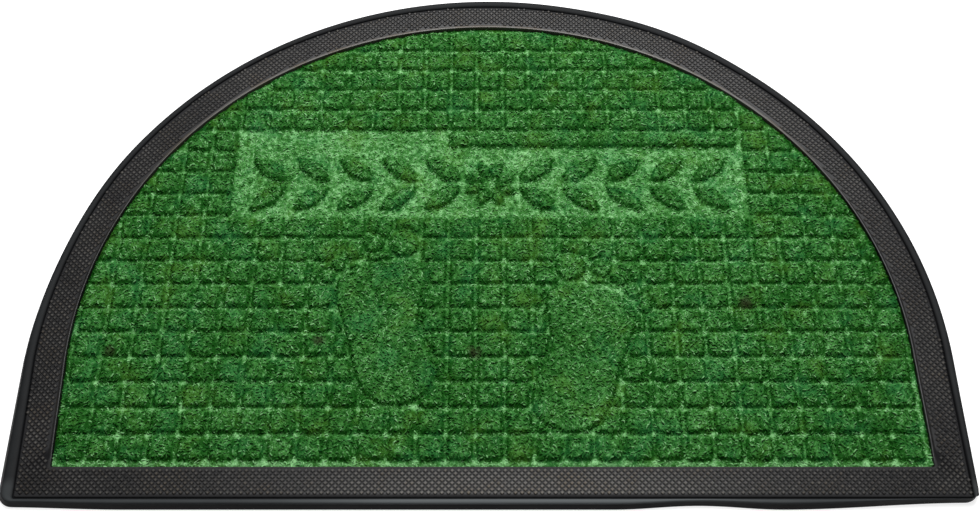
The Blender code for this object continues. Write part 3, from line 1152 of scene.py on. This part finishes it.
@dataclass
class PressedCarpet:
    """The pressed pile inlay: one closed sheet with the CAD solid's relief, made soft and lumpy."""

    outline: MatOutline
    finish: Material
    cad_inlay: Object
    fit_gap: float = 0.3 * MM
    foot_height: float = 2.3 * MM
    ground_height: float = 4.4 * MM
    pile_height: float = 7.0 * MM
    spacing: float = 1.32 * MM
    lump_size: float = 5.0 * MM
    lump_height: float = 0.9 * MM
    soft_rounds: int = 1
    settled: float = 0.45 * MM
    drift_size: float = 9 * MM
    drift: float = 3.4 * MM
    wall_reach: float = 0.65 * MM
    side_shade: float = 0.85
    groove_reach: float = 2.0 * MM
    crossing_reach: float = 4.8 * MM
    crossing_light: float = 1.1
    edge_slack: float = 0.05 * MM
    edge_gap: tuple[float, float] = (0.5 * MM, 1.6 * MM)
    crushed_reach: tuple[float, float] = (2.0 * MM, 5.5 * MM)
    crushed_light: float = 0.6
    front_strip: tuple[float, float] = (34 * MM, 36 * MM)
    drift_free: tuple[float, float] = (1 * MM, 4 * MM)
    low_ground: tuple[float, float] = (0.12, 0.92)
    darkest: float = 0.9
    name: str = "pressed_pile_carpet"

    def _flat_sheet(self) -> Object:
        """Return the closed flat sheet: a square grid on top whose edge is drawn to the outline.

        Returns:
            The sheet, which the relief is pressed into.
        """
        inset = self.outline.border_width + self.fit_gap + self.edge_slack
        edge = np.array(self.outline.ring(inset))
        low, high = edge.min(0), edge.max(0)
        columns = int((high[0] - low[0]) / self.spacing) + 2
        rows = int((high[1] - low[1]) / self.spacing) + 2
        xs = np.linspace(low[0], high[0], columns)
        ys = np.linspace(low[1], high[1], rows)
        work = bmesh.new()
        top = self.pile_height
        points = {}
        for j, y in enumerate(ys):
            left, right = self._reach(edge, y)
            for i, x in enumerate(xs):
                if left <= x <= right:
                    points[i, j] = work.verts.new((x, y, top))
        for (i, j), start in points.items():
            corners = [points.get(key) for key in ((i + 1, j), (i + 1, j + 1), (i, j + 1))]
            if None not in corners:
                work.faces.new((start, *corners)).smooth = True
        loose = [vertex for vertex in work.verts if not vertex.link_faces]
        bmesh.ops.delete(work, geom=loose, context="VERTS")
        rim = [link for link in work.edges if link.is_boundary]
        after = {link.link_loops[0].vert: link.link_loops[0].link_loop_next.vert for link in rim}
        ring = [next(iter(after))]
        while len(ring) < len(after):
            ring.append(after[ring[-1]])
        feet = []
        for vertex in ring:
            vertex.co.x, vertex.co.y = self._nearest(edge, vertex.co)
            feet.append(work.verts.new((vertex.co.x, vertex.co.y, self.foot_height)))
        for here in range(len(ring)):
            work.faces.new((ring[here], ring[here - 1], feet[here - 1], feet[here])).smooth = True
        work.faces.new(list(reversed(feet))).smooth = True
        return new_object("flat_sheet", mesh_of("flat_sheet", work))

    @staticmethod
    def _reach(edge: np.ndarray, y: float) -> Point:
        """Return how far the outline reaches left and right at a height on the sheet.

        Args:
            edge: The outline's points.
            y: Place from front to back.

        Returns:
            The left and the right end.
        """
        after = np.roll(edge, -1, axis=0)
        crossing = (edge[:, 1] - y) * (after[:, 1] - y) <= 0
        a, b = edge[crossing], after[crossing]
        rise = np.where(np.abs(b[:, 1] - a[:, 1]) < 1e-12, 1.0, b[:, 1] - a[:, 1])
        share = np.clip((y - a[:, 1]) / rise, 0.0, 1.0)
        x = a[:, 0] + share * (b[:, 0] - a[:, 0])
        return float(x.min()), float(x.max())

    @staticmethod
    def _nearest(edge: np.ndarray, spot: Vector) -> Point:
        """Return the nearest point of the outline.

        Args:
            edge: The outline's points.
            spot: The point.

        Returns:
            The outline's nearest point.
        """
        after = np.roll(edge, -1, axis=0)
        here = np.array((spot.x, spot.y))
        run = after - edge
        length = np.maximum((run ** 2).sum(1), 1e-18)
        share = np.clip(((here - edge) * run).sum(1) / length, 0.0, 1.0)
        near = edge + share[:, None] * run
        best = int(((near - here) ** 2).sum(1).argmin())
        return float(near[best, 0]), float(near[best, 1])

    def _edge_line(self) -> Object:
        """Return the field's outline as a closed line, for measuring distances.

        Returns:
            The line.
        """
        work = bmesh.new()
        line = self.outline.ring(self.outline.border_width)
        ring = [work.verts.new((x, y, self.pile_height)) for x, y in line]
        for index, start in enumerate(ring):
            work.edges.new((start, ring[(index + 1) % len(ring)]))
        return new_object("field_edge", mesh_of("field_edge", work))

    def _drifted(self, plan: ShapePlan, away: Signal) -> Signal:
        """Return each point's place drawn a little aside, but not beside the field's edge.

        Args:
            plan: The tree.
            away: The point's distance from the edge.

        Returns:
            The place.
        """
        centred = plan.vector("SUBTRACT", plan.noise(self.drift_size, "Color"), (0.5, 0.5, 0.5))
        flat = plan.vector("MULTIPLY", centred, (1.0, 1.0, 0.0))
        moved = plan.vector("MULTIPLY", flat, away.step(*self.drift_free) * self.drift)
        return plan.vector("ADD", plan.use("GeometryNodeInputPosition"), moved)

    def _height(self, plan: ShapePlan, solid: Signal, spot: Signal, right: float, back: float) -> Signal:
        """Return the CAD relief's height beside a point.

        Args:
            plan: The tree.
            solid: The CAD inlay's mesh.
            spot: The point.
            right: How far to the right of the point.
            back: How far behind the point.

        Returns:
            The height, from 0 on the ground to 1 on the pile.
        """
        level = plan.parts(plan.look_down(solid, spot, (right, back), "Hit Position"))[2]
        return ((level - self.ground_height) / (self.pile_height - self.ground_height)).held()

    @staticmethod
    def _around(height: Callable[[float, float], Signal], reach: float) -> list[Signal]:
        """Return the heights to the left, to the right, in front and behind."""
        return [height(x * reach, y * reach) for x, y in ((-1, 0), (1, 0), (0, -1), (0, 1))]

    @staticmethod
    def _soften(plan: ShapePlan, value: Signal, rounds: Any) -> Signal:
        """Return a value blurred over the mesh."""
        return plan.use("GeometryNodeBlurAttribute", {"data_type": "FLOAT"}, {
            "Value": value, "Iterations": rounds}, "Value")

    def _traits(self, plan: ShapePlan, height: Callable[[float, float], Signal], away: Signal,
                lowest: Signal) -> dict[Trait, Signal]:
        """Work out what the material and the curls have to know about each point.

        Args:
            plan: The tree.
            height: Gives the relief's height at a distance to the right and behind.
            away: The point's distance from the field's edge.
            lowest: How low the point lies, from 0 to 1.

        Returns:
            The value of each attribute.
        """
        y = plan.parts(plan.use("GeometryNodeInputPosition"))[1]
        left, right, ahead, behind = self._around(height, self.groove_reach)
        west, east, near, far = self._around(height, self.wall_reach)
        # Painted shade on the pads' front walls, and on their side walls at a share.
        wall_shade = (far - near).most((east - west).size() * self.side_shade)
        at_front = 1.0 - y.step(*(self.outline.front_y + end for end in self.front_strip))
        # Painted shade on the pile's edge beside the lip, except along the front edge.
        gap = (1.0 - away.step(*self.edge_gap)) * (1.0 - at_front)
        crushed = (1.0 - away.step(*self.crushed_reach)) * at_front
        # Open ground and groove crossings, which the material lifts with painted light.
        between = 1.0 - height(0.0, self.crossing_reach)
        for side in (-1, 1):
            between = between * height(side * self.crossing_reach, self.crossing_reach)
        bare = (1.0 - left) * (1.0 - right) * (1.0 - ahead) * (1.0 - behind)
        bare = bare.most(crushed * self.crushed_light) + bare * between * self.crossing_light
        # Pressed: low ground, for painted sheen in the material; grooves running from front to back come out
        # below zero, for painted shade there.
        return {
            Trait.PRESSED: lowest * (1.0 - left * right * 1.6),
            Trait.OPEN: self._soften(plan, bare, 1),
            Trait.SHADE: (wall_shade * (1.0 - crushed)).most(0.0).least(self.darkest).most(gap)}

    def build(self) -> Object:
        """Lay the sheet over the CAD relief with Geometry Nodes.

        Returns:
            The finished piece.
        """
        edge_line = self._edge_line()
        plan = ShapePlan("pressed_relief")
        given = (plan.given("Inlay", self.cad_inlay), plan.given("Edge line", edge_line))
        settled = plan.given("Settled", self.settled)
        lump_height = plan.given("Lump height", self.lump_height)
        rounds = plan.given("Soft rounds", self.soft_rounds)
        material = plan.given("Pile", self.finish)
        original = {"transform_space": "ORIGINAL"}
        solid, line = (
            plan.use("GeometryNodeObjectInfo", original, {"Object": thing}, "Geometry") for thing in given)
        x, y, z = plan.parts(plan.use("GeometryNodeInputPosition"))
        away = plan.use("GeometryNodeProximity", {"target_element": "EDGES"}, {"Geometry": line}, "Distance")
        height = partial(self._height, plan, solid, self._drifted(plan, away))
        here = self._soften(plan, height(0.0, 0.0), rounds)
        lowest = 1.0 - here.step(*self.low_ground)
        sheet = plan.geometry()
        for trait, value in self._traits(plan, height, away, lowest).items():
            sheet = plan.noted(sheet, trait, value)
        swell = plan.noise(self.lump_size, "Fac").swing(lump_height) * 2.0 * (1.0 - lowest * 0.7)
        raised = self.ground_height + here * (self.pile_height - self.ground_height) - settled + swell
        on_top = z.above((self.ground_height + self.pile_height) / 2)
        laid = plan.use("GeometryNodeSetPosition", {}, {
            "Geometry": sheet, "Selection": on_top, "Position": plan.joined(x, y, raised)})
        piece = plan.run(self._flat_sheet(), laid, material, self.name)
        bpy.data.objects.remove(edge_line, do_unlink=True)
        return hand_over(piece, CadNode.INLAY)


@dataclass(frozen=True)
class CurlShape:
    """Shape of one curl, as shares of a strand's half length, length and rise."""

    half: float
    bend: float
    lean: float


@dataclass
class PileCurls:
    """Curled strands of pile that stand on the carpet, made in strips from front to back."""

    outline: MatOutline
    carpet: Object
    finish: Material
    strips: int = 5
    area_steps: int = 400
    gap_between: float = 1.72 * MM
    most_per_area: float = 1.4e6
    thickness: float = 0.46 * MM
    length: float = 1.9 * MM
    rise: float = 0.9 * MM
    shapes: tuple[CurlShape, ...] = (
        CurlShape(1.0, -0.55, 0.9), CurlShape(0.85, 0.35, 0.55), CurlShape(0.75, 0.75, 0.75),
        CurlShape(1.15, -0.25, 1.0), CurlShape(0.65, 0.5, 0.35))
    bend_steps: int = 2
    tilt: float = 0.6
    sizes: tuple[float, float] = (0.75, 1.3)
    flattened: float = 0.55
    deepest_shade: float = 0.93
    steepest: float = 0.15
    seed: int = 7
    name: str = "pile_curls"

    def _curl(self, plan: ShapePlan, shape: CurlShape, thickness: Signal) -> Signal:
        """Return one curl's mesh as an instance.

        Args:
            plan: The tree.
            shape: The curl's shape.
            thickness: Radius of the strand.

        Returns:
            The curl.
        """
        bend, lean = shape.bend * self.length, shape.lean * self.rise
        half = self.length / 2 * shape.half
        arc = plan.use("GeometryNodeCurveQuadraticBezier", {}, {
            "Resolution": self.bend_steps, "Start": (-half, 0.0, -0.1 * self.rise),
            "Middle": (0.15 * half, bend, 2.0 * lean), "End": (half, 0.1 * bend, 0.0)}, "Curve")
        ring = plan.use("GeometryNodeCurvePrimitiveCircle", {"mode": "RADIUS"}, {
            "Resolution": 3, "Radius": thickness}, "Curve")
        tube = plan.use("GeometryNodeCurveToMesh", {}, {
            "Curve": arc, "Profile Curve": ring, "Fill Caps": True}, "Mesh")
        return plan.use("GeometryNodeGeometryToInstance", {}, {"Geometry": tube}, "Instances")

    def _strip(self, index: int, front: float, back: float) -> Object:
        """Make the curls of one strip with Geometry Nodes.

        Args:
            index: Number of the strip, from the front.
            front: Where the strip starts.
            back: Where the strip ends.

        Returns:
            The finished piece.
        """
        plan = ShapePlan("curls_of_strip_" + str(index))
        start = plan.given("Front", front)
        end = plan.given("Back", back)
        gap = plan.given("Gap between curls", self.gap_between)
        thickness = plan.given("Strand radius", self.thickness)
        seed = plan.given("Seed", self.seed)
        material = plan.given("Pile", self.finish)
        scatter = plan.node("GeometryNodeDistributePointsOnFaces", {"distribute_method": "POISSON"}, {
            "Mesh": plan.geometry(), "Distance Min": gap, "Density Max": self.most_per_area, "Seed": seed})
        y = plan.parts(plan.use("GeometryNodeInputPosition"))[1]
        upright = plan.parts(plan.out(scatter, "Normal"))[2]
        lit = plan.carried(Trait.SHADE).below(self.deepest_shade)
        inside = y.above(start) * y.below(end) * upright.above(self.steepest) * lit
        outside = plan.use("FunctionNodeBooleanMath", {"operation": "NOT"}, {0: inside})
        kept = plan.use("GeometryNodeDeleteGeometry", {"domain": "POINT"}, {
            "Geometry": plan.out(scatter, "Points"), "Selection": outside})
        curls = [self._curl(plan, shape, thickness) for shape in self.shapes]
        choice = plan.use("GeometryNodeJoinGeometry", {}, {"Geometry": curls})
        turn = plan.joined(
            plan.chance("FLOAT", -self.tilt, self.tilt, Draw.TILT_X),
            plan.chance("FLOAT", -self.tilt, self.tilt, Draw.TILT_Y),
            plan.chance("FLOAT", 0.0, 2 * math.pi, Draw.TURN))
        size = plan.chance("FLOAT", *self.sizes, Draw.SIZE)
        flat = 1.0 - plan.carried(Trait.PRESSED) * self.flattened
        placed = plan.use("GeometryNodeInstanceOnPoints", {}, {
            "Points": kept, "Instance": choice, "Pick Instance": True,
            "Instance Index": plan.chance("INT", 0, len(self.shapes) - 1, Draw.SHAPE),
            "Rotation": turn, "Scale": plan.joined(size, size, size * flat)})
        toned = plan.noted(placed, Trait.TONE, plan.chance("FLOAT", 0.0, 1.0, Draw.TONE), "INSTANCE")
        guide = new_object("curl_guide", self.carpet.data.copy())
        piece = plan.run(guide, toned, material, self.name + "_" + str(index))
        piece.data.polygons.foreach_set("use_smooth", [True] * len(piece.data.polygons))
        return hand_over(piece)

    def build(self) -> list[Object]:
        """Make every strip.

        Returns:
            The finished pieces, from front to back.
        """
        cuts = self._cuts()
        return [self._strip(i + 1, float(a), float(b)) for i, (a, b) in enumerate(zip(cuts, cuts[1:]))]

    def _cuts(self) -> np.ndarray:
        """Cut the field from front to back into strips of about the same area.

        Returns:
            Where the strips start and end.
        """
        low, high = (corner.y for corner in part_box(CadNode.INLAY.value))
        fine = np.linspace(low, high, self.area_steps)
        centre = self.outline.arc_centre_y
        radius = high - centre
        widths = np.where(fine < centre, radius, np.sqrt(np.maximum(radius ** 2 - (fine - centre) ** 2, 0)))
        area = np.cumsum(widths)
        cuts = np.interp(np.linspace(0, area[-1], self.strips + 1), area, fine)
        cuts[0], cuts[-1] = low - self.length, high + self.length
        return cuts


@dataclass
class Studio:
    """Pale floor, soft light from behind and above, and the photograph's camera."""

    floor_size: float = 8.0
    floor_drop: float = 0.2 * MM
    focal_px: float = 1374.0
    frame_px: tuple[int, int] = (980, 511)
    centre_px: tuple[float, float] = (488.7, 255.5)
    sensor_mm: float = 36.0
    elevation_deg: float = 59.5
    camera_place: tuple[float, float, float] = (0.0, -0.4913, 0.7996)
    clip: tuple[float, float] = (0.01, 50.0)
    ambient: float = 0.20
    key_power: float = 42.0
    key_size: tuple[float, float] = (0.8, 1.1)
    key_place: tuple[float, float, float] = (0.08, 0.55, 1.15)

    def build(self) -> None:
        """Make the floor, the lights and the camera."""
        work = bmesh.new()
        bmesh.ops.create_grid(work, x_segments=1, y_segments=1, size=self.floor_size)
        floor = new_object("floor", mesh_of("floor", work))
        floor.location.z = -self.floor_drop
        floor.data.materials.append(FloorFinish().material())
        self._sky()
        self._lamp("key", self.key_place, self.key_size, self.key_power)
        self._camera()
        view = bpy.context.scene.view_settings
        view.view_transform = "Standard"
        view.look = "None"

    def _sky(self) -> None:
        """Give the room its even white light."""
        world = bpy.data.worlds.new("studio")
        world.use_nodes = True
        back = world.node_tree.nodes["Background"]
        back.inputs["Color"].default_value = (1.0, 1.0, 1.0, 1.0)
        back.inputs["Strength"].default_value = self.ambient
        bpy.context.scene.world = world

    def _lamp(self, name: str, place: Sequence[float], size: Sequence[float], power: float) -> None:
        """Add a rectangular soft light aimed at the middle of the mat.

        Args:
            name: The light's name.
            place: Where it hangs.
            size: Its width and height.
            power: Its power in watts.
        """
        data = bpy.data.lights.new(name, "AREA")
        data.shape = "RECTANGLE"
        data.size, data.size_y = size
        data.energy = power
        lamp = new_object(name, data)
        lamp.location = place
        lamp.rotation_euler = Vector(place).to_track_quat("Z", "Y").to_euler()

    def _camera(self) -> None:
        """Place the camera as the photograph was taken."""
        data = bpy.data.cameras.new("camera")
        data.sensor_fit = "HORIZONTAL"
        data.sensor_width = self.sensor_mm
        width, height = self.frame_px
        data.lens = self.focal_px / width * self.sensor_mm
        data.shift_x = (width / 2 - self.centre_px[0]) / width
        data.shift_y = (self.centre_px[1] - height / 2) / width
        data.clip_start, data.clip_end = self.clip
        camera = new_object("camera", data)
        camera.location = self.camera_place
        camera.rotation_euler = (math.radians(90.0 - self.elevation_deg), 0.0, 0.0)
        bpy.context.scene.camera = camera


def main() -> None:
    """Build the scene: studio, rubber, carpet and pile."""
    logging.basicConfig(level=logging.INFO, format="%(name)s: %(message)s")
    Studio().build()
    outline = MatOutline()
    rubber = BandFinish().material()
    base = RubberBase(outline, rubber)
    rim = MouldedRim(outline, RimFinish().material())
    knurl = KnurledBand(outline, rubber, base.band_height)
    border = [builder.build() for builder in (base, rim, knurl)]
    ground = PileFinish().material(PileLayer.GROUND)
    pressed = PressedCarpet(outline, ground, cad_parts[CadNode.INLAY.value])
    carpet = pressed.build()
    curls = PileCurls(outline, carpet, PileFinish().material(PileLayer.CURLS)).build()
    for piece in (*border, carpet, *curls):
        piece.data.calc_loop_triangles()
        LOG.info("%s: %d triangles", piece.name, len(piece.data.loop_triangles))
    area = outline.area(outline.border_width + pressed.fit_gap)


if __name__ == "__main__":
    main()
